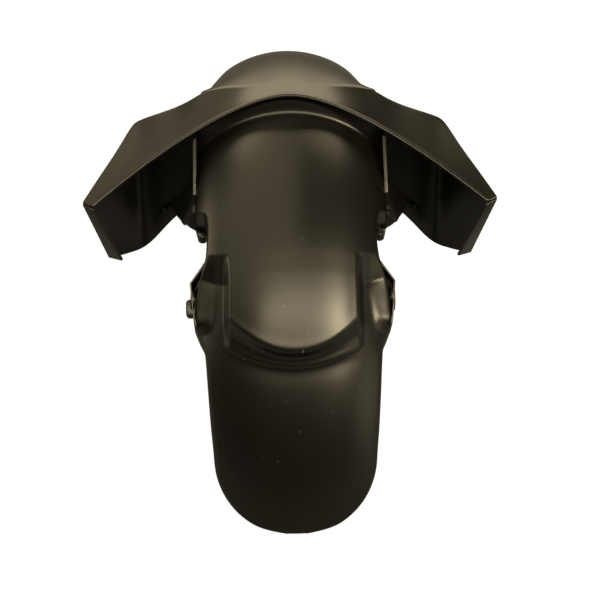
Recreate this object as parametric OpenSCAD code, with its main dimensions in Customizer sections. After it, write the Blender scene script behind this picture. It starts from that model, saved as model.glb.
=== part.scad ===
/* [Arch over the wheel] */
// radius from the wheel axle to the top of the middle pad
arch_radius = 330; // [320:1:340]
// radius of the rounded cross section of the arch
crown_radius = 103; // [98:1:112]
// thickness of the moulded wall
wall = 3; // [2.4:0.1:3.4]
// half width of the arch in front of the fork leg notches
arch_half_width = 84.6; // [83:0.1:86]
// angle behind the axle at which the tail ends
tail_end = 71.3; // [70:0.1:73]
// half width at the start of the rounded tail end
tail_half_width = 68.6; // [66:0.1:70]
// depth of the side skirt beside the front ears
skirt_depth = 24; // [20:1:28]

/* [Middle pad] */
// half width of the raised middle pad
pad_half_width = 53.6; // [52:0.1:55]
// height of the pad over the tail
pad_step = 13; // [9:0.5:15]
// angle behind the axle at which the pad ends on the centre line
pad_end = 43.5; // [42.5:0.1:45]
// height of the small wedge beside the pad
wedge_rise = 6; // [3:0.5:7]

/* [Front cowl] */
// step from the middle pad up to the cowl
cowl_step = 16; // [14:0.5:18]
// reach of the cowl in front of the axle
nose_reach = 240; // [225:1:250]
// half width of the cowl at the wing tips
wing_half_span = 186; // [178:1:192]
// height of the front fold of the wings over the trailing edge
fold_rise = 14; // [10:0.5:17]
// height of the bead along the trailing edge
bead = 1.2; // [0.6:0.1:1.6]

/* [Fork bolts] */
// diameter of the four bolt holes
bolt_hole_d = 6.6; // [6.2:0.1:7.4]
// diameter of the round ears about the bolt holes
ear_d = 24; // [20:0.5:26]
// distance between the two bolt holes of a side
bolt_spacing = 90; // [86:1:94]

/* [Hidden] */
cowl_radius = arch_radius + cowl_step;
// the four bolts lie about a point below the arch, which is the origin
bolt_tilt = 20.5;
bolt_mid_angle = 23.58;
bolt_mid_r = arch_radius - 61.26;
bolt_mid_y = -bolt_mid_r * sin(bolt_mid_angle);
bolt_mid_z = bolt_mid_r * cos(bolt_mid_angle);
tip_y = -60;
drop_slope = 0.54;
fold_y = 30;
neck = arch_half_width - 1.6;
black = [0.1, 0.1, 0.1];

function mix(a, b, s) = a + (b - a) * s;
function clamp(v, a, b) = min(max(v, a), b);
function ease(s) = let (k = clamp(s, 0, 1)) k * k * (3 - 2 * k);
function flat(g) = [for (row = g) each row];
function unit(v) = let (n = norm(v)) n > 0 ? v / n : [0, 0, 1];
function crown_drop(x, r) = r - sqrt(r * r - min(x * x, r * r * 0.96));
function polar(x, t, r) = [x, -r * sin(t), r * cos(t)];

// normal of a grid at one of its points, taken from the points beside it
function grid_normal(g, r, c) =
    let (
        nr = len(g) - 1,
        nc = len(g[0]) - 1,
        u = g[min(r + 1, nr)][c] - g[max(r - 1, 0)][c],
        v = g[r][min(c + 1, nc)] - g[r][max(c - 1, 0)]
    ) unit(cross(u, v));
function inner_grid(g, t) = [
    for (r = [0:len(g) - 1]) [
        for (c = [0:len(g[0]) - 1]) g[r][c] - t * grid_normal(g, r, c)
    ]
];

// closed wall between an outer and an inner grid of the same size
module shell(outer, inner) {
    nr = len(outer);
    nc = len(outer[0]);
    n = nr * nc;
    faces = concat(
        [for (r = [0:nr - 2], c = [0:nc - 2]) [r * nc + c, r * nc + c + 1, (r + 1) * nc + c + 1]],
        [for (r = [0:nr - 2], c = [0:nc - 2]) [r * nc + c, (r + 1) * nc + c + 1, (r + 1) * nc + c]],
        [for (r = [0:nr - 2], c = [0:nc - 2]) [n + r * nc + c, n + (r + 1) * nc + c + 1, n + r * nc + c + 1]],
        [for (r = [0:nr - 2], c = [0:nc - 2]) [n + r * nc + c, n + (r + 1) * nc + c, n + (r + 1) * nc + c + 1]],
        [for (c = [0:nc - 2]) [c, n + c, n + c + 1]],
        [for (c = [0:nc - 2]) [c, n + c + 1, c + 1]],
        [for (c = [0:nc - 2]) let (b = (nr - 1) * nc + c) [b, b + 1, n + b + 1]],
        [for (c = [0:nc - 2]) let (b = (nr - 1) * nc + c) [b, n + b + 1, n + b]],
        [for (r = [0:nr - 2]) let (b = r * nc, d = b + nc) [b, d, n + d]],
        [for (r = [0:nr - 2]) let (b = r * nc, d = b + nc) [b, n + d, n + b]],
        [for (r = [0:nr - 2]) let (b = r * nc + nc - 1, d = b + nc) [b, n + b, n + d]],
        [for (r = [0:nr - 2]) let (b = r * nc + nc - 1, d = b + nc) [b, n + d, d]]
    );
    polyhedron(points = concat(flat(outer), flat(inner)), faces = faces, convexity = 10);
}

// trailing edge of the cowl
function brim_y(x) = -2 + (tip_y + 2) * pow(abs(x) / 176, 2.4);
function brim_z(x) = cowl_radius - drop_slope * (sqrt(x * x + 36 * 36) - 36);
// front fold of the wings, run inward until it fades into the nose
function fold_z(x) = brim_z(x) - 1 + (fold_rise + 1) * ease((abs(x) - 15) / 68);
function nose_r(x, y) =
    let (
        z = fold_z(x),
        near = sqrt(z * z + fold_y * fold_y),
        far = cowl_radius - crown_drop(x, crown_radius + 3) - 5 * ease((abs(x) - 55) / 28)
    ) mix(near, far, ease((y - fold_y) / mix(95, 45, ease((abs(x) - 50) / 30))));
function cap_z(x, y) =
    y > fold_y ? sqrt(pow(nose_r(x, y), 2) - y * y)
    : mix(brim_z(x), fold_z(x), clamp((y - brim_y(x)) / (fold_y - brim_y(x)), 0, 1));

// stations of the cowl from the centre line out to the wing tip
brim_x = [0, 10, 20, 29, 37, 43, 49, 55, 60, 65, 69.5, 73.5, 77.5, 81.5];
edge_x = [0, 20, 39, 55, 67, 73, 75, 76.5, 77.6, 78.6, 79.5, 80.5, 81.7, neck];
edge_t = [1, 1, 1, 1, 1, 0.91, 0.81, 0.71, 0.605, 0.5, 0.395, 0.3, 0.21, 0.125];
wing_brim_x = [90, 102, 116, 130, 138, 150, 163, 176];
wing_top = [
    [90, 30, 3.2], [104, 31.5, 11.3], [121, 33, 18.8], [138.6, 34.7, 27.2], [144, 32.5, 29.8],
    [mix(142, wing_half_span, 0.33), 6, 38.8], [mix(142, wing_half_span, 0.67), -24, 49],
    [wing_half_span, -54, 59]
];
wing_foot = [
    [91, 0, 96.5], [106, 0, 109], [121, 0, 126], [130, 0.2, 138], [141, -3, 146],
    [150, -9, 145], [160, -17.5, 142.5], [wing_half_span - 15.4, -25, 139.5]
];
wing_level = arch_radius - 0.7;

function nose_front(x) = nose_reach - 22 * pow(abs(x) / 76, 2.2);
function edge_point(k) =
    k < 5 ? let (x = edge_x[k], y = nose_front(x)) [x, y, cap_z(x, y)]
    : k < 14 ? let (x = edge_x[k], y = edge_t[k] * nose_reach) [x, y, cap_z(x, y)]
    : let (w = wing_top[k - 14]) [w[0], w[1], wing_level - w[2]];
function foot_point(k) =
    k < 5 ? let (x = edge_x[k], y = nose_front(x), z = cap_z(x, y)) [x, y - 5, z - 15]
    : k < 14 ? let (s = (edge_t[k] - 0.125) / 0.785) [
        edge_x[k] + 1, mix(4, nose_reach - 27, s), mix(arch_radius - 93, arch_radius - 124, s)
    ]
    : let (w = wing_foot[k - 14]) [w[0], w[1], wing_level - w[2]];

bead_run = [0, 0.8, 2.6, 3.8];
bead_lift = [-0.6, 1, 1, 0];
top_share = [0.12, 0.4, 0.72];
nose_share = [0.16, 0.4, 0.65, 0.86];
side_share = [0.3, 0.65, 1];
fold_round = 3;
function half_x(k) = k < 14 ? brim_x[k] : wing_brim_x[k - 14];
// point of a column where it meets the fold line
function fold_point(k) =
    k > 12 ? edge_point(k)
    : let (x = mix(brim_x[k], edge_x[k], 0.25 * (1 - pow(k / 13, 3)))) [x, fold_y, cap_z(x, fold_y)];
function top_point(k, s) =
    let (
        a = [half_x(k), brim_y(half_x(k)), brim_z(half_x(k))],
        b = fold_point(k),
        x = mix(a[0], b[0], s),
        y = mix(a[1], b[1], s)
    ) [x, y, k < 14 ? cap_z(x, y) : mix(a[2], b[2], s)];
function nose_point(k, s) =
    let (
        a = fold_point(k),
        b = edge_point(k),
        x = mix(a[0], b[0], pow(s, 0.7)),
        y = mix(a[1], b[1], s)
    ) [x, y, cap_z(x, y)];
// three points that round a corner b between the ways to a and to c
function rounded(a, b, c, r) = [
    b + r * unit(a - b), b + r * 0.22 * (unit(a - b) + unit(c - b)), b + r * unit(c - b)
];
// one column: bead, top, fold or nose, then the face down to the foot
function cowl_column(k) =
    let (
        a = top_point(k, 0),
        m = fold_point(k),
        b = edge_point(k),
        f = foot_point(k),
        run = norm(m - a)
    ) concat(
        [for (j = [0:3]) top_point(k, bead_run[j] / run) + [0, 0, bead * bead_lift[j]]],
        [for (s = top_share) top_point(k, mix(4.5 / run, 1 - fold_round / run, s))],
        k > 12 ? concat(
            rounded(top_point(k, 0.9), m, f, fold_round),
            [for (s = nose_share) mix(m, f, mix(fold_round / norm(f - m), 0.55, s))],
            [for (s = [0.61, 0.66, 0.72]) mix(m, f, s)],
            [for (s = side_share) mix(m, f, mix(0.72, 1, s))]
        ) : concat(
            [top_point(k, 1 - fold_round / run), m, nose_point(k, min(0.3, fold_round / norm(b - m)))],
            [for (s = nose_share) nose_point(k, mix(fold_round / norm(b - m), 1, s))],
            rounded(nose_point(k, 0.97), b, f, min(fold_round, norm(b - m) * 0.12)),
            [for (s = side_share) mix(b, f, mix(fold_round / norm(f - b), 1, s))]
        )
    );
half_cols = [for (k = [0:21]) cowl_column(k)];
cowl_grid = [
    for (r = [0:len(half_cols[0]) - 1]) concat(
        [for (k = [21:-1:1]) let (p = half_cols[k][r]) [-p[0], p[1], p[2]]],
        [for (k = [0:21]) half_cols[k][r]]
    )
];

// half width of the arch at an angle behind the axle
notch_side = [
    [-8, 0], [16.5, 0], [18.2, -0.6], [19, -4.6], [19.8, -8.6], [20.8, -10.8], [22.2, -11.8], [23.8, -11.8],
    [25.3, -11.2], [26.6, -10.4], [27.6, -8.8], [28.8, -6.8], [31.3, -3.2], [33, -1.8], [35, -1.4],
    [36.4, -0.5], [37.6, -0.2], [39.4, -3.2], [40.6, -4.8], [41.8, -8.2], [42.8, -9.8], [46.6, -10.9],
    [50.6, -12.3], [57, -14.5]
];
// the inner edge of the wedge runs outward as it goes back
function wedge_slant(t) = min(clamp((t - 30) / 2, 0, 1), clamp((43 - t) / 4, 0, 1)) * (0.73 * (t - 31.5) - 1.4);
slant_share = [1, 1, 0.55, 0.15, 0, 0];
function tail_width(t) =
    tail_half_width * pow(max(1 - pow((t - 60) / (tail_end - 60), 2.2), 0.004), 0.385);
function half_width(t) = t < 57 ? arch_half_width + lookup(t, notch_side)
    : t < 60 ? mix(arch_half_width - 14.5, tail_half_width, (t - 57) / 3) : tail_width(t);
function skirt(t) = lookup(t, [
    [0, skirt_depth], [14, skirt_depth], [16.5, skirt_depth * 0.7], [18.5, skirt_depth * 0.5],
    [20.5, skirt_depth * 0.33], [26, skirt_depth * 0.3], [29, skirt_depth * 0.75], [31, skirt_depth],
    [39, skirt_depth], [43, skirt_depth * 0.8], [60, skirt_depth * 0.5], [68, skirt_depth * 0.33], [tail_end, skirt_depth * 0.25]
]);

// rows of the arch: nominal angle, row kind by place
row_t = concat(
    [-0.4, 0.4, 0.7, 1.1, 1.7, 4.6, 8.6, 12.6, 16.5, 18.2, 19, 19.8, 20.8, 22.2, 23.8, 25.3, 26.6],
    [27.6, 28, 29.6, 31.3, 33.4, 35.4, 37.4, 39.4, 41.4, 42.4, 46.2, 48.8, 52.4, 56.2, 59.6, 62.4, 65, 67.4, 69.4, 71],
    [72.2, 73]
);
n_rows = len(row_t);
pad_foot = pad_half_width + 4.8;
flat_x = [
    0, pad_half_width * 0.17, pad_half_width * 0.34, pad_half_width * 0.51, pad_half_width * 0.68,
    pad_half_width * 0.83, pad_half_width - 2.2, pad_half_width, pad_foot, pad_foot + 2.2
];
out_share = [0.28, 0.42, 0.62, 0.82, 0.93, 1];
function u_arc(x, a, b, w) = mix(a, b, pow(clamp(abs(x) / w, 0, 1), 2.7));
function row_place(r) = row_t[r] > 60 ? mix(60, tail_end, (row_t[r] - 60) / 13) : row_t[r];
// angle of a row at a column: rows near the end of the pad follow its curved rear edge
function row_angle(r, x) =
    let (t = row_place(r))
    t < 31 || t > 56 ? t
    : t < 40 ? mix(31.2, u_arc(x, pad_end - 0.9, 37.6, pad_half_width), (t - 31) / 8.4)
    : t < 42 ? u_arc(x, pad_end, 38.4, pad_half_width) + clamp((abs(x) - pad_foot) / 6, 0, 1)
    : t < 43 ? u_arc(x, pad_end + 2.1, 40.6, pad_foot)
    : t < 47 ? u_arc(x, pad_end + 3, 42.8, pad_foot)
    : mix(u_arc(x, pad_end + 3, 42.8, pad_foot), 56, (t - 46.2) / 9.8);
function col_x(t, i) =
    let (
        w = half_width(t),
        inner_x = i < 10 ? flat_x[i]
            : mix(pad_foot + 2.2, w, (out_share[i - 10] - 0.14) / 0.86) + wedge_slant(t) * slant_share[i - 10],
        even_x = w * (i < 10 ? i * 0.094 : mix(0.86, 1, (i - 10) / 5)),
        s = ease((t - 44) / 12)
    ) mix(inner_x, even_x, s);
// height of the outside over the pad level at column i and row r
function level(r, i) =
    let (
        t = row_t[r],
        in_pad = i <= 7,
        before = t < 27.7,
        low = -pad_step,
        wedge = i >= 11 && t > 31.4 && t < 40 ? wedge_rise * (t - 31.3) / 8.1 : 0
    )
    t < 2 ? lookup(t, [[0.4, 4.4], [0.7, 1.7], [1.1, 0.5], [1.7, 0.1], [2, 0]])
    : before ? 0
    : t < 41.9 && in_pad ? 0
    : t < 28.5 && !in_pad ? -0.5
    : t < 30 && !in_pad ? low * 0.5
    : low + wedge;
function outer_point(r, i) =
    let (
        x = col_x(row_angle(r, 80), i),
        t = row_angle(r, x),
        edge = i == 15 ? 1.6 : i == 14 ? 0.35 : 0,
        rr = arch_radius - crown_drop(x, crown_radius) + level(r, i) - edge
    )
    r == 0 ? [x, 0.8, cap_z(x, 0.8) - wall * 0.5] : polar(x, t, rr);
function skirt_point(r, s) =
    let (p = outer_point(r, 15), t = row_angle(r, p[0]), d = skirt(t) * s)
    p - polar(0, t, d) + [s * 0.8, 0, 0];
arch_half = [
    for (r = [0:n_rows - 1]) concat(
        [for (i = [0:15]) outer_point(r, i)],
        [for (s = [0.12, 0.5, 1]) skirt_point(r, s)]
    )
];
arch_grid = [
    for (r = [0:n_rows - 1]) concat(
        [for (k = [18:-1:1]) let (p = arch_half[r][k]) [-p[0], p[1], p[2]]],
        [for (k = [0:18]) arch_half[r][k]]
    )
];

module cowl() {
    shell(cowl_grid, inner_grid(cowl_grid, wall));
}

module arch() {
    shell(arch_grid, inner_grid(arch_grid, wall));
}

// flat plate through three points, its outline drawn from the first towards the second
module panel(a, b, c, outline, t) {
    u = unit(b - a);
    n = unit(cross(u, c - a));
    v = cross(n, u);
    multmatrix([
        [u[0], v[0], n[0], a[0]],
        [u[1], v[1], n[1], a[1]],
        [u[2], v[2], n[2], a[2]],
        [0, 0, 0, 1]
    ]) translate([0, 0, -t / 2]) linear_extrude(t) polygon(outline);
}

// upright web that runs on from the arch side to the brim
module side_web() {
    x = arch_half_width - 0.6;
    top = brim_z(x) - 1;
    side = arch_radius - crown_drop(arch_half_width, crown_radius);
    translate([x, 0, 0]) rotate([90, 0, 90]) linear_extrude(wall) polygon([
        [3, top - 30], [3, top], [-12, top - 5], [-57, side - 6.8], [-57, side - 13.8]
    ]);
}

// diagonal plate below the wing, with an arched notch and a rounded tab
gusset_from = [arch_half_width + 0.4, -46, arch_radius];
gusset_to = [127, 9, arch_radius];
module gusset() {
    tab = [for (a = [0:30:180]) [21 + 5 * cos(a), -96.5 - 5 * sin(a)]];
    arch_cut = [for (a = [-10:20:190]) [42 + 9 * cos(a), -101 + 10 * sin(a)]];
    panel(gusset_from, gusset_to, gusset_from + [0, 0, 9], concat(
        [[-1.5, -68], [-1.5, -43], [63, -108], [68, -113], [68, -132], [58, -127]],
        arch_cut,
        [for (k = [0:6]) tab[k]],
        [[12, -84]]
    ), wall);
}

// narrow strip that returns inward along the rear edge of a wing
module wing_return() {
    a = [wing_half_span - 0.8, -53.5, wing_level - 60.5];
    b = [wing_half_span - 16.2, -25.5, wing_level - 142];
    c = [wing_half_span - 10, -59, wing_level - 62];
    l = norm(b - a);
    panel(a, b, c, [[0, -0.5], [l - 4, -0.5], [l - 4, 11.5], [2, 10.5]], 2.6);
}

// bent wall outside the wedge, with a slot behind it
module ear_wall() {
    w = arch_half_width;
    top = arch_radius - 45;
    rotate([32, 0, 0]) difference() {
        translate([0, 0, top - 22]) linear_extrude(34) polygon([
            [w - 10.5, 27], [w + 3.4, 8.5], [w + 1.6, -12], [w + 0.3, -24], [w - 1.5, -31],
            [w - 4, -31], [w - 2, -22], [w - 0.6, -12], [w + 0.8, 8], [w - 13, 26]
        ]);
        translate([0, 8, top]) rotate([18, 0, 0]) cube([200, 60, 60]);
        translate([0, -60, top]) cube([200, 70, 60]);
    }
    rotate([32, 0, 0]) translate([0, 0, top - 20]) linear_extrude(wall) polygon([
        [w - 12, 26], [w + 2, 10], [w - 0.6, -18], [w - 3.6, -30], [w - 9, -30], [w - 12, 0]
    ]);
}

module bolt_place(k) {
    translate([0, bolt_mid_y, bolt_mid_z]) rotate([bolt_tilt, 0, 0])
        translate([0, k * bolt_spacing / 2, 0]) rotate([0, 90, 0]) children();
}

module ear_front() {
    w = arch_half_width;
    bolt_place(1) translate([0, 0, w - 3]) cylinder(h = 5.4, r = ear_d / 2, $fn = 48);
    // rounded tongue behind the ear, flat along the notch
    rotate([17.8, 0, 0]) translate([0, 0, arch_radius - 69.5]) linear_extrude(wall) union() {
        translate([w - 6, -2]) circle(r = 4.4, $fn = 32);
        polygon([[w - 2.6, 12], [w + 1.6, 12], [w - 2, -3.9], [w - 8.6, 1.6]]);
    }
}

// flat boss on the ear wall with a short sleeve across the slot
module ear_rear() {
    bolt_place(-1) translate([0, 0, arch_half_width - 0.6]) cylinder(h = 3.4, r = ear_d * 0.42, $fn = 48);
    bolt_place(-1) translate([0, 0, arch_half_width - 6]) cylinder(h = 7, r = ear_d * 0.2, $fn = 48);
}

// small tab for a hose, on one side only
module hose_tab() {
    w = arch_half_width;
    rotate([34.4, 0, 0]) translate([0, 0, arch_radius - 59]) linear_extrude(9) polygon([
        [2.6 - w, -7.5], [-4.9 - w, -7.5], [-6.9 - w, -5.5], [-6.9 - w, 5.5], [-4.9 - w, 7.5], [2.6 - w, 7.5]
    ]);
}

module half_details() {
    side_web();
    gusset();
    wing_return();
    ear_wall();
    ear_front();
    ear_rear();
}

module mudguard() {
    color(black) translate([0, -bolt_mid_y, -bolt_mid_z]) difference() {
        union() {
            cowl();
            arch();
            half_details();
            mirror([1, 0, 0]) half_details();
            hose_tab();
        }
        for (k = [-1, 1]) bolt_place(k)
            cylinder(h = 3 * arch_half_width, r = bolt_hole_d / 2, center = true, $fn = 48);
    }
}

mudguard();
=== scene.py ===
import math
import bmesh
import bpy
from mathutils import Matrix, Vector


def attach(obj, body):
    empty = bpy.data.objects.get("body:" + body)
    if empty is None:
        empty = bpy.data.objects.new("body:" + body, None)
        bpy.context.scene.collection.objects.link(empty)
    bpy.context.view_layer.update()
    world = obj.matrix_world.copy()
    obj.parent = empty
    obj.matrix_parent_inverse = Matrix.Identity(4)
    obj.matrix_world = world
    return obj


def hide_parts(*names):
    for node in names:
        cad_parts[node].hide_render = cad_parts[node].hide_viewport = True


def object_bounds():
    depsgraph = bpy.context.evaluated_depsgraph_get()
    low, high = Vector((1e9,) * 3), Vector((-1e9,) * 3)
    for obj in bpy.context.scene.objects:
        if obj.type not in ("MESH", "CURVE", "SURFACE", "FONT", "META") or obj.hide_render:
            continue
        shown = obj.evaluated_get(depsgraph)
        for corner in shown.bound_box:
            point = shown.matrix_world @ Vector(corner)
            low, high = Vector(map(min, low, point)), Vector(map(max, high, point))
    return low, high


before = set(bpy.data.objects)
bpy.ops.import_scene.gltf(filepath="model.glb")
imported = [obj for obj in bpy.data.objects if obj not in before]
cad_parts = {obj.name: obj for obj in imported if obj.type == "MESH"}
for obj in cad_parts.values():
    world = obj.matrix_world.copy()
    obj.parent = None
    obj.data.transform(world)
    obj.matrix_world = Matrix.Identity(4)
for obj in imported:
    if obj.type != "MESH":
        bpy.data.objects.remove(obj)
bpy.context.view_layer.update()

print("frame loaded:", sorted(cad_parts))

# All sizes are millimetres about the wheel axle: x to the rider's right, y forward, z up.
# onBike() turns them into metres in the row frame, whose origin is between the fork bolts.
boltMiddle = Vector((0, -107.5, 246.3))


def onBike(p):
    return (Vector(p) - boltMiddle) * 0.001


def mix(a, b, s):
    return a + (b - a) * s


def clamp(v, low, high):
    return min(max(v, low), high)


def ease(s):
    k = clamp(s, 0, 1)
    return k * k * (3 - 2 * k)


# the value at v on the broken line through the pairs
def lookup(v, pairs):
    if v <= pairs[0][0]:
        return pairs[0][1]
    for (a, fa), (b, fb) in zip(pairs, pairs[1:]):
        if v <= b:
            return mix(fa, fb, (v - a) / (b - a))
    return pairs[-1][1]


# how far a rounded cross section has dropped at x
def crownDrop(x, radius):
    return radius - math.sqrt(radius * radius - min(x * x, radius * radius * 0.96))


# a place given across the bike, in degrees behind the axle and by its distance from the axle
def polar(x, angle, radius):
    a = math.radians(angle)
    return Vector((x, -radius * math.sin(a), radius * math.cos(a)))


def toObject(name, bm):
    mesh = bpy.data.meshes.new(name)
    bm.to_mesh(mesh)
    bm.free()
    obj = bpy.data.objects.new(name, mesh)
    bpy.context.scene.collection.objects.link(obj)
    return obj


def smoothByAngle(obj, angle):
    mesh = obj.data
    mesh.polygons.foreach_set("use_smooth", [True] * len(mesh.polygons))
    mesh.set_sharp_from_angle(angle=math.radians(angle))


# applies the modifiers, so that the piece is one plain closed mesh
def settle(obj):
    graph = bpy.context.evaluated_depsgraph_get()
    mesh = bpy.data.meshes.new_from_object(obj.evaluated_get(graph))
    obj.modifiers.clear()
    old = obj.data
    obj.data = mesh
    mesh.name = obj.name
    bpy.data.meshes.remove(old)


# where the smoothed sheet would lie at a point of the grid
def smoothedAt(grid, r, c):
    lastRow, lastColumn = len(grid) - 1, len(grid[0]) - 1
    p = grid[r][c]
    alongRow = grid[r][c - 1] + grid[r][c + 1] if 0 < c < lastColumn else None
    alongColumn = grid[r - 1][c] + grid[r + 1][c] if 0 < r < lastRow else None
    if alongRow is None and alongColumn is None:
        return p
    if alongRow is None or alongColumn is None:
        return (p * 4 + (alongColumn if alongRow is None else alongRow)) / 6
    corners = grid[r - 1][c - 1] + grid[r - 1][c + 1] + grid[r + 1][c - 1] + grid[r + 1][c + 1]
    return (p * 16 + (alongRow + alongColumn) * 4 + corners) / 36


# outward direction of a grid at one of its points
def gridNormal(grid, r, c):
    lastRow, lastColumn = len(grid) - 1, len(grid[0]) - 1
    alongRow = grid[r][min(c + 1, lastColumn)] - grid[r][max(c - 1, 0)]
    alongColumn = grid[min(r + 1, lastRow)][c] - grid[max(r - 1, 0)][c]
    return alongRow.cross(alongColumn).normalized()


# a vertex moved out by what smoothing takes off there, by a millimetre at most
def grownPoint(form, grid, normals, r, c):
    lost = (form[r][c] - smoothedAt(grid, r, c)).dot(normals[r][c])
    return grid[r][c] + normals[r][c] * clamp(lost, -1, 1)


# a walled sheet over a grid: pointAt gives its form, and the smoothed sheet runs through it
def sheetShell(name, rows, columns, pointAt, sizes):
    form = [[pointAt(r, c) for c in range(columns)] for r in range(rows)]
    normals = [[gridNormal(form, r, c) for c in range(columns)] for r in range(rows)]
    grid = form
    for step in range(2):
        grid = [[grownPoint(form, grid, normals, r, c) for c in range(columns)] for r in range(rows)]
    bm = bmesh.new()
    bmesh.ops.create_grid(bm, x_segments=columns - 1, y_segments=rows - 1, size=0.5)
    for v in bm.verts:
        column = round((v.co.x + 0.5) * (columns - 1))
        row = round((v.co.y + 0.5) * (rows - 1))
        v.co = onBike(grid[row][column])
    bm.normal_update()
    upward = sum(f.normal.z * f.calc_area() for f in bm.faces)
    if upward < 0:
        bmesh.ops.reverse_faces(bm, faces=bm.faces[:])
    obj = toObject(name, bm)
    solid = obj.modifiers.new("wall", "SOLIDIFY")
    solid.thickness = sizes["wall"] * 0.001
    solid.offset = 2 * sizes["outward"] / sizes["wall"] - 1
    solid.use_even_offset = True
    solid.use_quality_normals = True
    solid.thickness_clamp = 0.6
    smooth = obj.modifiers.new("smooth", "SUBSURF")
    smooth.levels = sizes["levels"]
    smooth.render_levels = sizes["levels"]
    settle(obj)
    obj.data.polygons.foreach_set("use_smooth", [True] * len(obj.data.polygons))
    return obj


# each item once and in the order met, so that every run makes the same mesh
def once(items):
    return list(dict.fromkeys(items))


# all vertices that are joined to the given ones
def joinedTo(verts):
    found, todo = {}, list(verts)
    while todo:
        v = todo.pop()
        if v not in found:
            found[v] = True
            todo += [e.other_vert(v) for e in v.link_edges]
    return list(found)


def softenEdges(bm, edges, width):
    return bmesh.ops.bevel(bm, geom=edges, offset=width, offset_type="OFFSET", segments=2,
                           profile=0.5, affect="EDGES", clamp_overlap=True, material=-1)


# a flat plate: outline in the plane of a matrix, thickness along its z, all edges softened;
# with a topSlope, the far side rises by an angle from a y on
def plate(bm, outline, place, thickness, soften=0.5, topSlope=None):
    verts = [bm.verts.new((x, y, 0)) for x, y in outline]
    face = bm.faces.new(verts)
    grown = bmesh.ops.extrude_face_region(bm, geom=[face])["geom"]
    top = [v for v in grown if isinstance(v, bmesh.types.BMVert)]
    bmesh.ops.translate(bm, verts=top, vec=(0, 0, thickness))
    if topSlope:
        start, angle = topSlope
        for v in top:
            v.co.z += max(v.co.y - start, 0) * math.tan(math.radians(angle))
    both = verts + top
    bmesh.ops.recalc_face_normals(bm, faces=once(f for v in both for f in v.link_faces))
    softened = softenEdges(bm, once(e for v in both for e in v.link_edges), soften)
    verts = joinedTo([v for f in softened["faces"] for v in f.verts] + [v for v in both if v.is_valid])
    bmesh.ops.transform(bm, matrix=place, verts=verts)
    return verts


# a mirrored copy for the other side of the bike
def flipped(bm, verts):
    edges = once(e for v in verts for e in v.link_edges)
    faces = once(f for v in verts for f in v.link_faces)
    copy = bmesh.ops.duplicate(bm, geom=verts + edges + faces)["geom"]
    newVerts = [g for g in copy if isinstance(g, bmesh.types.BMVert)]
    newFaces = [g for g in copy if isinstance(g, bmesh.types.BMFace)]
    for v in newVerts:
        v.co.x = -v.co.x
    bmesh.ops.reverse_faces(bm, faces=newFaces)
    return newVerts


# arch over the wheel: pad, pockets, wedges, skirts and tail
archSizes = {
    "radius": 330,          # axle to the top of the middle pad
    "crown": 103,           # radius of the cross section
    "halfWidth": 84.6,
    "wall": 3,
    "skirt": 24,
    "skirtFlare": 0.8,
    "tailStart": 60,        # degrees behind the axle, as tailEnd and padEnd
    "tailEnd": 71.3,
    "tailHalfWidth": 68.6,
    "padHalfWidth": 53.6,
    "padSlope": 4.8,        # width of the pad's side walls
    "padStep": 13,
    "padEnd": 43.8,
    "wedgeRise": 2,
    "wedgeLift": 9,         # the wedge's top is flatter than the crown by this much at its outer edge
    "pocketBend": 1.9,      # degrees by which the pockets' front wall runs forward at the sides
    "edgeDrop": {14: 0.35, 15: 1.6},   # rounding of the two outermost columns of the top
    "outward": 0,           # how much of the wall lies outside the form
    "levels": 2,
}
# side outline: degrees behind the axle, change of the half width
sideOutline = [
    (-8, 0), (14.9, 0), (16.3, -0.6), (17.1, -4.6), (17.9, -8.4), (19.1, -10.6), (21, -11.7),
    (23.8, -11.8), (25.3, -11.2), (26.6, -10.4), (27.6, -8.8), (28.8, -6.8), (31.3, -3.2), (33, -1.8),
    (35, -1.4), (36.4, -0.5), (37.6, -0.2), (39.4, -3.2), (40.6, -4.8), (41.8, -8.2), (42.8, -9.8),
    (46.6, -10.9), (50.6, -12.3), (57, -14.5)
]
# skirt depth and height of the pad's rear step: degrees behind the axle, share of the full size
skirtShare = [
    (0, 1), (17.9, 1), (19.1, 0.8), (21, 0.42), (23.8, 0.3), (26, 0.3), (29, 0.75), (31, 1),
    (39, 1), (43, 0.8), (60, 0.5), (68, 0.33), (71.3, 0.25)
]
stepShare = [(42.4, 0.76), (46.2, 0.84), (46.8, 1)]
# rows of the grid, in degrees behind the axle where the pad's rear edge is straight
rowAngles = [
    -0.4, 0.4, 0.7, 1.1, 1.7, 4.6, 8.6, 12.3, 14.9, 16.3, 17.1, 17.9, 19.1, 21, 23.8, 25.3, 26.6, 27.4,
    27.8, 28.3, 31.3, 31.9, 32.7, 34, 35.4, 37.4, 39.4, 41.4, 42.4, 46.2, 46.8, 48.8, 52.4, 56.2,
    59.6, 62.4, 65, 67.4, 69.4, 71, 72.2, 73
]
# columns of one half: pad, its side wall, pocket with wedge, and then the skirt
padFoot = archSizes["padHalfWidth"] + archSizes["padSlope"]
padColumns = [archSizes["padHalfWidth"] * s for s in (0, 0.17, 0.34, 0.51, 0.68, 0.83)] + [
    archSizes["padHalfWidth"] - 2.2, archSizes["padHalfWidth"], padFoot, padFoot + 2.2
]
padEdge, outerFirst, wedgeFirst, topColumns = 7, 10, 11, 16
outerShare = [0.28, 0.42, 0.62, 0.82, 0.93, 1]
slantShare = [1, 1, 0.55, 0.15, 0, 0]
wedgeShare = [0.03, 0.27, 0.61, 0.85, 1]
skirtRows = [0.12, 0.5, 0.94, 1]


# the inner edge of the wedge runs outward as it goes back
def wedgeSlant(t):
    return min(clamp((t - 30) / 2, 0, 1), clamp((43 - t) / 4, 0, 1)) * (0.73 * (t - 31.5) - 1.4)


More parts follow.
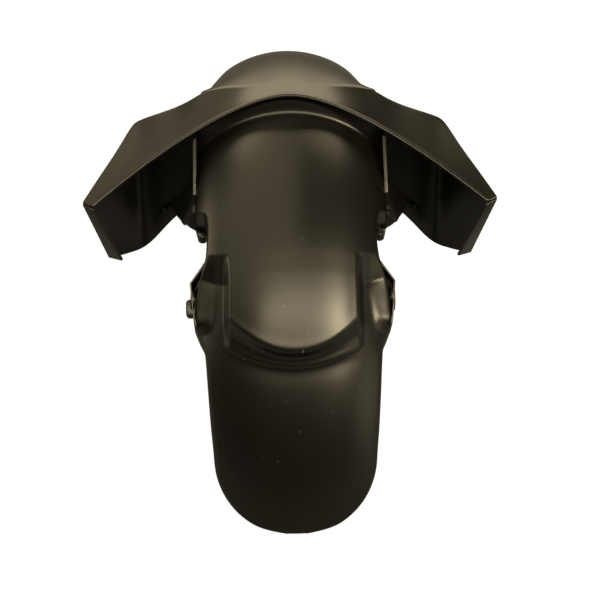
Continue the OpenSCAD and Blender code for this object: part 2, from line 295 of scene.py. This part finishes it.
def halfWidth(t):
    s = archSizes
    if t < 57:
        return s["halfWidth"] + lookup(t, sideOutline)
    if t < s["tailStart"]:
        return mix(s["halfWidth"] - 14.5, s["tailHalfWidth"], (t - 57) / (s["tailStart"] - 57))
    along = max((t - s["tailStart"]) / (s["tailEnd"] - s["tailStart"]), 0)
    return s["tailHalfWidth"] * max(1 - along ** 2.2, 0.004) ** 0.385


# the last rows are spread over the length of the tail
def rowPlace(row):
    t, start = rowAngles[row], archSizes["tailStart"]
    return mix(start, archSizes["tailEnd"], (t - start) / (rowAngles[-1] - start)) if t > start else t


# the angle at x on a curve from the centre line to the side
def padCurve(x, middle, side, width):
    return mix(middle, side, clamp(abs(x) / width, 0, 1) ** 2)


# the pockets' front wall runs forward towards the sides
def pocketBend(t, x):
    share = lookup(t, [(21, 0), (25.3, 0.5), (27.4, 1), (31.9, 1), (34, 0.5), (37, 0)])
    return archSizes["pocketBend"] * share * clamp((abs(x) - padFoot) / 20, 0, 1)


# rows near the end of the pad bend with its curved rear edge: edge, wall, band and second step
def rowAngle(row, x):
    t = rowPlace(row)
    end = archSizes["padEnd"]
    half = archSizes["padHalfWidth"]
    if t < 31 or t > 56:
        return t - pocketBend(t, x)
    if t < 40:
        return mix(31.2, padCurve(x, end - 0.9, 37.6, half), (t - 31) / 8.4) - pocketBend(t, x)
    if t < 42:
        return padCurve(x, end, 38.4, half) + clamp((abs(x) - padFoot) / 6, 0, 1)
    if t < 43:
        return padCurve(x, end + 0.8, 39.7, padFoot)
    if t < 46.5:
        return padCurve(x, end + 2, 42.2, padFoot)
    return mix(padCurve(x, end + 2.2, 42.5, padFoot), 56, (t - 46.8) / 9.2)


# x of a column: shaped beside the pad, evenly spread over the tail
def columnAt(t, i):
    w = halfWidth(t)
    outer = i - outerFirst
    if outer < 0:
        shaped, even = padColumns[i], w * (i * 0.094)
    else:
        shaped = mix(padColumns[-1], w, (outerShare[outer] - 0.14) / 0.86)
        shaped += wedgeSlant(t) * slantShare[outer]
        even = w * mix(0.86, 1, outer / 5)
    return mix(shaped, even, ease((t - 44) / 12))


# height against the pad's level: fillet below the cowl, pockets, wedges and the step behind the pad
def levelAt(row, i):
    s = archSizes
    t = rowAngles[row]
    if t < 2:
        return lookup(t, [(0.4, 4.4), (0.7, 1.7), (1.1, 0.5), (1.7, 0.1), (2, 0)])
    if t < 27.5 or (t < 41.9 and i <= padEdge):
        return 0
    if t > 40:
        return -s["padStep"] * (lookup(t, stepShare) if i <= padEdge else 1)
    onWedge = i >= wedgeFirst
    lift = s["wedgeLift"] * wedgeShare[i - wedgeFirst] if onWedge else 0
    if t < 32:
        down = lookup(t, [(27.4, 0), (27.8, 0.03), (28.3, 0.16), (31.3, 0.9), (31.9, 1)])
        return down * (lift - s["padStep"])
    return (s["wedgeRise"] * (t - 31.9) / 7.5 if onWedge else 0) + lift - s["padStep"]


def archPoint(row, i):
    s = archSizes
    x = columnAt(rowAngle(row, 80), i)
    if row == 0:
        return Vector((x, 0.8, capHeight(x, 0.8) - s["wall"] * 0.5))
    height = s["radius"] - crownDrop(x, s["crown"]) + levelAt(row, i) - s["edgeDrop"].get(i, 0)
    return polar(x, rowAngle(row, x), height)


def skirtPoint(row, share):
    p = archPoint(row, topColumns - 1)
    t = rowAngle(row, p.x)
    down = polar(0, t, archSizes["skirt"] * lookup(t, skirtShare) * share)
    return p - down + Vector((share * archSizes["skirtFlare"], 0, 0))


# columns count from the left skirt over the middle to the right skirt
archHalfColumns = topColumns + len(skirtRows) - 1


def archAt(row, column):
    k = column - archHalfColumns
    i = abs(k)
    p = archPoint(row, i) if i < topColumns else skirtPoint(row, skirtRows[i - topColumns])
    return Vector((-p.x, p.y, p.z)) if k < 0 else p


# cowl: brim, wings, front fold and nose
cowlSizes = {
    "step": 16,             # from the pad up to the cowl
    "wall": archSizes["wall"],
    "noseReach": 240,
    "noseCurve": 22,        # how far the nose's front end runs back at its sides
    "noseLip": (0, -5, -15),   # from the nose's front edge down to its foot
    "wingHalfSpan": 186,
    "foldRise": 14,
    "foldY": 30,
    "foldRound": 3,
    "foldSoften": 6,        # more rounding of the fold over the middle
    "bead": 1.2,
    "beadShape": [(0, -0.6), (0.8, 1), (2.6, 1), (3.8, 0)],   # way from the edge, share of the bead
    "brimY": -2,
    "tipX": 176,
    "tipY": -60,
    "sweep": 2.4,
    "slope": 0.54,
    "ridge": 36,            # roundness of the brim over the middle
    "lip": 1.2,             # last ring before the lower edge
    "outward": 1,
    "levels": 2,
}
cowlRadius = archSizes["radius"] + cowlSizes["step"]
wingLevel = archSizes["radius"] - 0.7
neck = archSizes["halfWidth"] - 1.6
span = cowlSizes["wingHalfSpan"]
# columns of one half: x on the brim, and x and share of the reach on the nose's lower edge up to the neck
brimX = [
    0, 10, 20, 29, 37, 43, 49, 55, 60, 65, 69.5, 73.5, 77.5, 81.5,
    90, 102, 116, 130, 138, 150, 163, cowlSizes["tipX"]
]
edgeX = [0, 20, 39, 55, 67, 73, 75, 76.5, 77.6, 78.6, 79.5, 80.5, 81.7, neck]
edgeReach = [1, 1, 1, 1, 1, 0.91, 0.81, 0.71, 0.605, 0.5, 0.395, 0.3, 0.21, 0.125]
neckColumn = len(edgeX) - 1
frontColumns = edgeReach.count(1)
# the wing's front edge and its foot: x, y, drop below the wing level
wingTop = [
    (90, 30, 3.2), (104, 31.5, 11.3), (121, 33, 18.8), (138.6, 34.7, 27.2), (144, 32.5, 29.8),
    (mix(142, span, 0.33), 6, 38.8), (mix(142, span, 0.67), -24, 49), (span, -54, 59)
]
wingFoot = [
    (91, 0, 96.5), (106, 0, 109), (121, 0, 126), (130, 0.2, 138), (141, -3, 146),
    (150, -9, 145), (160, -17.5, 142.5), (span - 15.4, -25, 139.5)
]


def brimY(x):
    c = cowlSizes
    return c["brimY"] + (c["tipY"] - c["brimY"]) * (abs(x) / c["tipX"]) ** c["sweep"]


def brimZ(x):
    ridge = cowlSizes["ridge"]
    return cowlRadius - cowlSizes["slope"] * (math.sqrt(x * x + ridge * ridge) - ridge)


def foldZ(x):
    return brimZ(x) - 1 + (cowlSizes["foldRise"] + 1) * ease((abs(x) - 22) / 60)


# height of the cowl's top: straight from the brim to the fold, then round the wheel with the nose
def capHeight(x, y):
    foldY = cowlSizes["foldY"]
    if y <= foldY:
        return mix(brimZ(x), foldZ(x), clamp((y - brimY(x)) / (foldY - brimY(x)), 0, 1))
    near = math.hypot(foldZ(x), foldY)
    far = cowlRadius - crownDrop(x, archSizes["crown"] + 3) - 5 * ease((abs(x) - 55) / 28)
    blend = mix(95, 45, ease((abs(x) - 50) / 30))
    return math.sqrt(mix(near, far, ease((y - foldY) / blend)) ** 2 - y * y)


def wingPlace(table, k):
    x, y, drop = table[k - neckColumn - 1]
    return Vector((x, y, wingLevel - drop))


# front edge of the wing, or lower edge of the nose
def edgePoint(k):
    if k > neckColumn:
        return wingPlace(wingTop, k)
    x, reach = edgeX[k], cowlSizes["noseReach"]
    y = reach - cowlSizes["noseCurve"] * (abs(x) / 76) ** 2.2 if k < frontColumns else edgeReach[k] * reach
    return Vector((x, y, capHeight(x, y)))


def footPoint(k):
    if k > neckColumn:
        return wingPlace(wingFoot, k)
    if k < frontColumns:
        return edgePoint(k) + Vector(cowlSizes["noseLip"])
    s = (edgeReach[k] - 0.125) / 0.785
    return Vector((edgeX[k] + 1, mix(4, 213, s), mix(237, 206, s)))


def foldPoint(k):
    if k >= neckColumn:
        return edgePoint(k)
    x = mix(brimX[k], edgeX[k], 0.25 * (1 - (k / neckColumn) ** 3))
    return Vector((x, cowlSizes["foldY"], capHeight(x, cowlSizes["foldY"])))


# a point between the brim and the fold
def topPoint(k, s):
    a = Vector((brimX[k], brimY(brimX[k]), brimZ(brimX[k])))
    p = a.lerp(foldPoint(k), s)
    if k <= neckColumn:
        p.z = capHeight(p.x, p.y)
    return p


# a point between the fold and the nose's lower edge
def nosePoint(k, s):
    a, b = foldPoint(k), edgePoint(k)
    x, y = mix(a.x, b.x, s ** 0.7), mix(a.y, b.y, s)
    return Vector((x, y, capHeight(x, y)))


# five points round a corner b between the ways to a and to c
def roundedCorner(a, b, c, r):
    toA, toC = (a - b).normalized(), (c - b).normalized()
    wide, tight = r, r * 0.5
    return [b + wide * toA, b + tight * toA, b + tight * 0.25 * (toA + toC), b + tight * toC, b + wide * toC]


# points of one column from the bead on the brim to the foot
def cowlColumn(k):
    a, m, b, f = topPoint(k, 0), foldPoint(k), edgePoint(k), footPoint(k)
    run = (m - a).length
    soft = cowlSizes["foldRound"] + cowlSizes["foldSoften"] * clamp((neckColumn - 1 - k) / 4, 0, 1)
    points = [
        topPoint(k, way / run) + Vector((0, 0, cowlSizes["bead"] * lift))
        for way, lift in cowlSizes["beadShape"]
    ]
    points += [topPoint(k, mix(4.5 / run, 1 - soft / run, s)) for s in (0.12, 0.4, 0.72)]
    if k >= neckColumn:
        lip = 1 - cowlSizes["lip"] / ((f - m).length * 0.27)
        points += roundedCorner(topPoint(k, 0.9), m, f, soft)
        points += [m.lerp(f, mix(soft / (f - m).length, 0.55, s)) for s in (0.16, 0.4, 0.65, 0.86)]
        points += [m.lerp(f, s) for s in (0.61, 0.64, 0.67, 0.7, 0.73)]
        points += [m.lerp(f, mix(0.73, 1, s)) for s in (0.3, 0.65, lip, 1)]
        return points
    first = soft / (b - m).length
    lip = 1 - cowlSizes["lip"] / (f - b).length
    points += [topPoint(k, 1 - soft / run), topPoint(k, 1 - soft / run / 2), m]
    points += [nosePoint(k, min(0.15, first / 2)), nosePoint(k, min(0.3, first))]
    points += [nosePoint(k, mix(first, 1, s)) for s in (0.16, 0.4, 0.65, 0.86)]
    points += roundedCorner(nosePoint(k, 0.97), b, f, min(soft, (b - m).length * 0.12))
    points += [b.lerp(f, mix(soft / (f - b).length, 1, s)) for s in (0.3, 0.65, lip, 1)]
    return points


cowlColumns = [cowlColumn(k) for k in range(len(brimX))]
# a column close to the wing's outer edge keeps that edge crisp
cowlColumns.insert(-1, [a.lerp(b, 0.9) for a, b in zip(cowlColumns[-2], cowlColumns[-1])])
cowlHalfColumns = len(cowlColumns) - 1


def cowlAt(row, column):
    k = column - cowlHalfColumns
    p = cowlColumns[abs(k)][row]
    return Vector((-p.x, p.y, p.z)) if k < 0 else p


# the arch's front row ends under the cowl, so both are made here
arch = sheetShell("arch", len(rowAngles), 2 * archHalfColumns + 1, archAt, archSizes)
print("arch:", len(arch.data.polygons), "faces")
cowl = sheetShell("cowl", len(cowlColumns[0]), 2 * cowlHalfColumns + 1, cowlAt, cowlSizes)
print("cowl:", len(cowl.data.polygons), "faces")


# matrix of a plane: origin a, first axis towards b, c in the plane
def planeMatrix(a, b, c, thickness):
    u = (Vector(b) - Vector(a)).normalized()
    n = u.cross(Vector(c) - Vector(a)).normalized()
    v = n.cross(u)
    turn = Matrix((u, v, n)).transposed().to_4x4()
    return Matrix.Translation(Vector(a)) @ turn @ Matrix.Translation((0, 0, -thickness / 2))


# outline in y and z, thickness across the bike from x on
def acrossMatrix(x):
    return Matrix(((0, 0, 1, x), (1, 0, 0, 0), (0, 1, 0, 0), (0, 0, 0, 1)))


# outline in x and z, thickness forward from y on
def uprightMatrix(y):
    return Matrix(((1, 0, 0, 0), (0, 0, -1, y), (0, 1, 0, 0), (0, 0, 0, 1)))


# outline in x and along the wheel, thickness away from the axle
def wheelMatrix(angle, height):
    return Matrix.Rotation(math.radians(angle), 4, "X") @ Matrix.Translation((0, 0, height))


# an arc about (x, y) with its two half axes
def arcPoints(arc, first, last):
    x, y, wide, high = arc
    turns = [math.radians(a) for a in range(first, last, 15)]
    return [(x + wide * math.cos(a), y + high * math.sin(a)) for a in turns]


# an outline measured from the side of the arch
def fromSide(outline):
    return [(archSizes["halfWidth"] + x, y) for x, y in outline]


# webs beside the pad, gussets below the wings and the strips along the wings' rear edges
fittingSizes = {
    "webWall": 3,
    "webInset": 0.6,
    "webDepth": 30,
    "webEnd": (-57, 279, 272),          # y, and z of its top and bottom there
    "gussetWall": 3,
    "gussetStart": (0.4, -46),          # from the side of the arch, y
    "gussetEnd": (127, 9, 0),
    "gussetFront": [(-1.5, 257), (-1.5, 287), (63, 222), (57, 221)],
    "gussetNotch": (42, 228, 12.5, 9.6),
    "gussetTab": (21, 233.5, 5, -5),
    "gussetFoot": (12, 244),
    "returnWall": 2.6,
    "returnWidth": (11.5, 17),          # at the tip and near the foot
}


def halfFittings(bm):
    s = fittingSizes
    webX = archSizes["halfWidth"] - s["webInset"]
    top = brimZ(webX) - 1
    endY, endTop, endFoot = s["webEnd"]
    web = [(3, top - s["webDepth"]), (3, top), (-12, top - 5), (endY, endTop), (endY, endFoot)]
    parts = plate(bm, web, acrossMatrix(webX), s["webWall"])
    gusset = s["gussetFront"] + arcPoints(s["gussetNotch"], -15, 151) + arcPoints(s["gussetTab"], 30, 181)
    gusset.append(s["gussetFoot"])
    startX, startY = s["gussetStart"]
    start = Vector((archSizes["halfWidth"] + startX, startY, 0))
    place = planeMatrix(start, s["gussetEnd"], start + Vector((0, 0, 9)), s["gussetWall"])
    parts += plate(bm, gusset, place, s["gussetWall"])
    # strip that turns inward along the wing's rear edge
    tip = Vector((span - 0.8, -53.5, wingLevel - 60.5))
    foot = Vector((span - 16.2, -25.5, wingLevel - 142))
    inward = Vector((span - 10, -59, wingLevel - 62))
    run = (foot - tip).length
    atTip, atFoot = s["returnWidth"]
    strip = [(0, -0.5), (run - 4, -0.5), (run - 9, atFoot), (2, atTip)]
    parts += plate(bm, strip, planeMatrix(tip, foot, inward, s["returnWall"]), s["returnWall"])
    return parts


# bent walls outside the wedges, round ears about the bolt holes and the tongues behind the front ears;
# outlines start at the side of the arch
earSizes = {
    "angle": 32,            # degrees behind the axle where the wall stands
    "depth": 45,            # its top below the pad
    "wallHeight": 26,
    "wallSlope": (8, 18),   # in front of this place its top rises by this angle
    "wallOutline": [
        (-10.5, 27), (3.4, 8.5), (1.6, -12), (0.3, -24), (-1.5, -31),
        (-3, -31), (-1, -22), (0.4, -12), (2, 8), (-12, 26)
    ],
    "ledgeWall": 3,
    "ledgeOutline": [(-12, 26), (2, 10), (-0.6, -18), (-3.6, -30), (-9, -30), (-12, 0)],
    "tongueAngle": 17.8,
    "tongueDepth": 69.5,
    "tongueWall": 9.5,
    "tongueBack": [(1.6, 12), (-2.6, 12)],
    "tongueTip": (-6, -2, 4.4, 4.4),
    "finY": -72,            # fin behind the front ear that fills the notch's front corner
    "finWall": 3,
    "finOutline": [
        (-3, 252), (-0.1, 252), (5.7, 256.4), (8, 258.8), (7.4, 261.5),
        (6, 266), (4.8, 270), (3, 272), (-3, 272)
    ],
    "frontEar": (-3, 2.4, 12),      # from x to x, radius
    "rearEar": (-0.6, 2.8, 10.08),
    "sleeve": (-6, 1, 4.8),
}
boltSizes = {
    "radius": 3.3,
    "spacing": 90,
    "tilt": 20.5,
    "reach": 120,           # of the drill to each side
}


# middle of the front (1) or rear (-1) bolt
def boltPlace(end):
    tilt = math.radians(boltSizes["tilt"])
    half = end * boltSizes["spacing"] / 2
    return Vector((0, boltMiddle.y + half * math.cos(tilt), boltMiddle.z + half * math.sin(tilt)))


# a round piece across the bike from x0 to x1
def disc(bm, centre, x0, x1, radius, segments=64, soften=0.5):
    made = bmesh.ops.create_cone(
        bm, cap_ends=True, segments=segments, radius1=radius, radius2=radius, depth=x1 - x0
    )
    verts = made["verts"]
    middle = Vector(((x0 + x1) / 2, centre.y, centre.z))
    turn = Matrix.Translation(middle) @ Matrix.Rotation(math.pi / 2, 4, "Y")
    bmesh.ops.transform(bm, matrix=turn, verts=verts)
    edges = once(e for v in verts for e in v.link_edges)
    rims = [e for e in edges if any(len(f.verts) > 4 for f in e.link_faces)]
    softened = softenEdges(bm, rims, soften)
    return once([v for f in softened["faces"] for v in f.verts] + [v for v in verts if v.is_valid])


def halfEars(bm):
    s = earSizes
    bottom = wheelMatrix(s["angle"], archSizes["radius"] - s["depth"] - s["wallHeight"])
    parts = plate(bm, fromSide(s["wallOutline"]), bottom, s["wallHeight"], 0.4, s["wallSlope"])
    parts += plate(bm, fromSide(s["ledgeOutline"]), bottom, s["ledgeWall"])
    tongue = fromSide(s["tongueBack"] + arcPoints(s["tongueTip"], 125, 336))
    place = wheelMatrix(s["tongueAngle"], archSizes["radius"] - s["tongueDepth"])
    parts += plate(bm, tongue, place, s["tongueWall"], 0.7)
    parts += plate(bm, fromSide(s["finOutline"]), uprightMatrix(s["finY"]), s["finWall"], 0.4)
    for name, end in (("frontEar", 1), ("rearEar", -1), ("sleeve", -1)):
        x0, x1, radius = s[name]
        parts += disc(bm, boltPlace(end), archSizes["halfWidth"] + x0, archSizes["halfWidth"] + x1, radius)
    return parts


# tab for a hose, on the left only; x is measured from the side of the arch
hoseSizes = {
    "angle": 34.4,
    "depth": 59,
    "height": 9,
    "outline": [(2.6, -7.5), (-4.9, -7.5), (-6.9, -5.5), (-6.9, 5.5), (-4.9, 7.5), (2.6, 7.5)],
}


def hoseTab(bm):
    s = hoseSizes
    outline = [(x - archSizes["halfWidth"], y) for x, y in s["outline"]]
    return plate(bm, outline, wheelMatrix(s["angle"], archSizes["radius"] - s["depth"]), s["height"], 1)


# from millimetres about the axle to a finished object in the row frame
def finished(name, bm):
    toMetres = Matrix.Scale(0.001, 4) @ Matrix.Translation(-boltMiddle)
    bmesh.ops.transform(bm, matrix=toMetres, verts=bm.verts[:])
    bmesh.ops.recalc_face_normals(bm, faces=bm.faces[:])
    obj = toObject(name, bm)
    smoothByAngle(obj, 35)
    return obj


def fittings():
    bm = bmesh.new()
    flipped(bm, halfFittings(bm))
    return finished("fittings", bm)


def ears():
    bm = bmesh.new()
    flipped(bm, halfEars(bm))
    hoseTab(bm)
    return finished("ears", bm)


# bolt holes straight across the bike
def drill(pieces):
    bm = bmesh.new()
    for end in (1, -1):
        disc(bm, boltPlace(end), -boltSizes["reach"], boltSizes["reach"], boltSizes["radius"], 48, 0.1)
    cutter = finished("boltCutter", bm)
    for piece in pieces:
        cut = piece.modifiers.new("bolts", "BOOLEAN")
        cut.operation = "DIFFERENCE"
        cut.solver = "EXACT"
        cut.use_self = True
        cut.object = cutter
        settle(piece)
    bpy.data.objects.remove(cutter)


fittingsPiece = fittings()
earsPiece = ears()
drill([earsPiece, arch])
for piece in (fittingsPiece, earsPiece, arch):
    print(piece.name + ":", len(piece.data.polygons), "faces")


# a Math node fed by sockets or by fixed numbers
def mathNode(nodes, links, operation, *values):
    node = nodes.new("ShaderNodeMath")
    node.operation = operation
    for socket, value in zip(node.inputs, values):
        if isinstance(value, bpy.types.NodeSocket):
            links.new(value, socket)
        else:
            socket.default_value = value
    return node.outputs[0]


def colourMix(nodes, links, factor, plain, other):
    node = nodes.new("ShaderNodeMix")
    node.data_type = "RGBA"
    node.inputs["A"].default_value = plain
    node.inputs["B"].default_value = other
    links.new(factor, node.inputs["Factor"])
    return node.outputs["Result"]


def newGroup(name, inputs, outputs):
    group = bpy.data.node_groups.new(name, "ShaderNodeTree")
    for label, value in inputs:
        socket = group.interface.new_socket(label, in_out="INPUT", socket_type="NodeSocketFloat")
        socket.default_value = value
    for label in outputs:
        group.interface.new_socket(label, in_out="OUTPUT", socket_type="NodeSocketFloat")
    return group, group.nodes.new("NodeGroupInput"), group.nodes.new("NodeGroupOutput")


# a group placed in a material with its own values
def placeGroup(nodes, group, **values):
    node = nodes.new("ShaderNodeGroup")
    node.node_tree = group
    for label, value in values.items():
        node.inputs[label].default_value = value
    return node


# fine spark-eroded grain of the mould: height for a bump and a small change of roughness
def mouldGrain():
    group, given, out = newGroup("mouldGrain", [("Scale", 1000), ("Spread", 0.05)], ["Height", "Gloss"])
    nodes, links = group.nodes, group.links
    where = nodes.new("ShaderNodeTexCoord")
    fine = nodes.new("ShaderNodeTexNoise")
    fine.inputs["Detail"].default_value = 3
    coarse = nodes.new("ShaderNodeTexNoise")
    coarse.inputs["Scale"].default_value = 9
    coarse.inputs["Detail"].default_value = 2
    for noise in (fine, coarse):
        links.new(where.outputs["Object"], noise.inputs["Vector"])
    links.new(given.outputs["Scale"], fine.inputs["Scale"])
    centred = mathNode(nodes, links, "SUBTRACT", coarse.outputs["Fac"], 0.5)
    spread = mathNode(nodes, links, "MULTIPLY", centred, given.outputs["Spread"])
    links.new(fine.outputs["Fac"], out.inputs["Height"])
    links.new(spread, out.inputs["Gloss"])
    return group


# sparse dust: tiny round specks where a cell's random value is low
def dustSpecks():
    group, given, out = newGroup("dustSpecks", [("Scale", 260), ("Share", 0.05), ("Size", 0.1)], ["Mask"])
    nodes, links = group.nodes, group.links
    where = nodes.new("ShaderNodeTexCoord")
    cells = nodes.new("ShaderNodeTexVoronoi")
    links.new(where.outputs["Object"], cells.inputs["Vector"])
    links.new(given.outputs["Scale"], cells.inputs["Scale"])
    near = mathNode(nodes, links, "LESS_THAN", cells.outputs["Distance"], given.outputs["Size"])
    split = nodes.new("ShaderNodeSeparateColor")
    links.new(cells.outputs["Color"], split.inputs["Color"])
    chosen = mathNode(nodes, links, "LESS_THAN", split.outputs["Red"], given.outputs["Share"])
    links.new(mathNode(nodes, links, "MULTIPLY", near, chosen), out.inputs["Mask"])
    return group


# a small scuff: 1 inside a long thin ellipsoid about one place
def scuffMark(place, along, size):
    group, given, out = newGroup("scuffMark", [], ["Mask"])
    nodes, links = group.nodes, group.links
    where = nodes.new("ShaderNodeTexCoord")
    local = nodes.new("ShaderNodeMapping")
    local.vector_type = "TEXTURE"
    local.inputs["Location"].default_value = onBike(place)
    local.inputs["Rotation"].default_value = Vector(along).to_track_quat("X", "Z").to_euler()
    local.inputs["Scale"].default_value = Vector(size) * 0.001
    links.new(where.outputs["Object"], local.inputs["Vector"])
    away = nodes.new("ShaderNodeVectorMath")
    away.operation = "LENGTH"
    links.new(local.outputs["Vector"], away.inputs[0])
    links.new(mathNode(nodes, links, "LESS_THAN", away.outputs["Value"], 1), out.inputs["Mask"])
    return group


# satin black plastic: fine grain, a little dust and one scuff on the pad's rear step
plasticLook = {
    "colour": (0.0028, 0.0025, 0.002, 1),
    "dust": (0.2, 0.18, 0.15, 1),
    "ior": 1.55,
    "roughness": 0.35,
    "roughnessSpread": 0.1,
    "grainScale": 1500,
    "grainDepth": 0.00004,
    "grainStrength": 0.3,
    "dustShare": 0.035,
    "scuffX": 8,
    "scuffAngle": 43.8,     # degrees behind the axle
    "scuffAlong": (0.7, -0.51, -0.49),
    "scuffSize": (2.3, 0.45, 3),
}


def satinPlastic():
    look = plasticLook
    material = bpy.data.materials.new("satinBlackPlastic")
    material.use_nodes = True
    nodes, links = material.node_tree.nodes, material.node_tree.links
    shader = nodes["Principled BSDF"]
    shader.inputs["IOR"].default_value = look["ior"]
    grain = placeGroup(nodes, mouldGrain(), Scale=look["grainScale"], Spread=look["roughnessSpread"])
    dust = placeGroup(nodes, dustSpecks(), Share=look["dustShare"])
    scuffPlace = polar(look["scuffX"], look["scuffAngle"], archSizes["radius"])
    scuff = placeGroup(nodes, scuffMark(scuffPlace, look["scuffAlong"], look["scuffSize"]))
    marks = mathNode(nodes, links, "MAXIMUM", dust.outputs["Mask"], scuff.outputs["Mask"])
    links.new(colourMix(nodes, links, marks, look["colour"], look["dust"]), shader.inputs["Base Color"])
    rough = mathNode(nodes, links, "ADD", grain.outputs["Gloss"], look["roughness"])
    links.new(rough, shader.inputs["Roughness"])
    bump = nodes.new("ShaderNodeBump")
    bump.inputs["Strength"].default_value = look["grainStrength"]
    bump.inputs["Distance"].default_value = look["grainDepth"]
    links.new(grain.outputs["Height"], bump.inputs["Height"])
    links.new(bump.outputs["Normal"], shader.inputs["Normal"])
    return material


plastic = satinPlastic()
for piece in (arch, cowl, fittingsPiece, earsPiece):
    piece.data.materials.clear()
    piece.data.materials.append(plastic)
    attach(piece, "root")
    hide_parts("mudguard")
print("finish done")

# studio: pale floor, a dim warm room and large soft lamps; its lengths are metres
studio = {
    "floorHalf": 6,
    "floorGap": 0.001,
    "floorColour": (0.16, 0.16, 0.16, 1),
    "floorLift": 0.95,
    "white": (1, 1, 1, 1),
    "mirroredShare": 0.05,   # how much of the white ground and backdrop shows in reflections
    "roomColour": (1, 0.85, 0.56, 1),
    "roomStrength": 0.055,
}
# name: direction from the object, distance, width, height, brightness of its face
lamps = {
    "window": ((0, 0.9, 0.44), 2.2, 2.5, 0.75, 3.9),
    "ceiling": ((-0.45, 0.22, 0.87), 1.8, 2.3, 1.9, 0.95),
    "strip": ((0.1, -0.44, 0.87), 1.7, 2.4, 0.3, 12.5),
    "bulb": ((0.7, -0.31, 0.66), 1.7, 0.42, 0.32, 37),
    "sideLeft": ((-0.9, 0.4, 0.12), 2, 1, 0.7, 2.2),
    "sideRight": ((0.95, -0.25, 0.1), 2, 0.9, 0.5, 1.6),
}
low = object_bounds()[0]


# 1 for rays that should see the white background, less for reflections
def backgroundRays(nodes, links):
    rays = nodes.new("ShaderNodeLightPath").outputs
    through = mathNode(nodes, links, "MAXIMUM", rays["Is Camera Ray"], rays["Is Transmission Ray"])
    mirrored = mathNode(nodes, links, "MULTIPLY", rays["Is Glossy Ray"], studio["mirroredShare"])
    return mathNode(nodes, links, "MAXIMUM", through, mirrored)


def floor():
    bm = bmesh.new()
    bmesh.ops.create_grid(bm, x_segments=4, y_segments=4, size=studio["floorHalf"])
    bmesh.ops.translate(bm, verts=bm.verts[:], vec=(0, 0, low.z - studio["floorGap"]))
    obj = toObject("floor", bm)
    material = bpy.data.materials.new("paleFloor")
    material.use_nodes = True
    nodes, links = material.node_tree.nodes, material.node_tree.links
    shader = nodes["Principled BSDF"]
    shader.inputs["Base Color"].default_value = studio["floorColour"]
    shader.inputs["Roughness"].default_value = 0.9
    shader.inputs["Specular IOR Level"].default_value = 0
    shader.inputs["Emission Color"].default_value = studio["white"]
    lift = mathNode(nodes, links, "MULTIPLY", backgroundRays(nodes, links), studio["floorLift"])
    links.new(lift, shader.inputs["Emission Strength"])
    obj.data.materials.append(material)


def areaLamp(name, direction, distance, width, height, brightness):
    data = bpy.data.lights.new(name, "AREA")
    data.shape = "RECTANGLE"
    data.size, data.size_y = width, height
    data.energy = math.pi * width * height * brightness
    data.color = studio["roomColour"][:3]
    away = Vector(direction).normalized()
    across = Vector((1, 0, 0)) if abs(away.x) < 0.85 else Vector((0, 1, 0))
    across = (across - away * across.dot(away)).normalized()
    obj = bpy.data.objects.new(name, data)
    obj.location = away * distance
    obj.rotation_mode = "QUATERNION"
    obj.rotation_quaternion = Matrix((across, away.cross(across), away)).transposed().to_quaternion()
    bpy.context.scene.collection.objects.link(obj)


def room():
    scene = bpy.context.scene
    scene.world = bpy.data.worlds.new("studio")
    scene.world.use_nodes = True
    nodes, links = scene.world.node_tree.nodes, scene.world.node_tree.links
    background = nodes["Background"]
    seen = backgroundRays(nodes, links)
    strength = mathNode(nodes, links, "MAXIMUM", seen, studio["roomStrength"])
    links.new(strength, background.inputs["Strength"])
    colour = colourMix(nodes, links, seen, studio["roomColour"], studio["white"])
    links.new(colour, background.inputs["Color"])


floor()
room()
for name, settings in lamps.items():
    areaLamp(name, *settings)
print("studio:", len(lamps), "lamps")

# camera: the photograph's angle, 36.1 degrees above the object and a degree to its left
view = {
    "azimuth": -0.935,
    "elevation": 36.1,
    "distance": 1150,
    "target": (0, -160, 277),
    "frame": 600,           # pixels across
    "focal": 1381.15,       # in those pixels
    "aim": (9.9, -36.3),    # pixels from the target to the middle of the frame
    "sensor": 36,
}


def camera():
    data = bpy.data.cameras.new("camera")
    data.sensor_width = view["sensor"]
    data.lens = view["focal"] / view["frame"] * view["sensor"]
    data.clip_start, data.clip_end = 0.05, 100
    turn = Matrix.Rotation(math.radians(view["azimuth"]), 4, "Z")
    e = math.radians(view["elevation"])
    forward = Vector((0, math.cos(e), -math.sin(e)))
    upward = Vector((0, math.sin(e), math.cos(e)))
    place = Vector(view["target"]) - forward * view["distance"]
    aim = forward * view["focal"] + Vector((1, 0, 0)) * view["aim"][0] + upward * view["aim"][1]
    obj = bpy.data.objects.new("camera", data)
    obj.location = onBike(turn @ place)
    obj.rotation_mode = "QUATERNION"
    obj.rotation_quaternion = (turn @ aim).to_track_quat("-Z", "Y")
    bpy.context.scene.collection.objects.link(obj)
    bpy.context.scene.camera = obj


camera()
bpy.context.scene.view_settings.view_transform = "Standard"
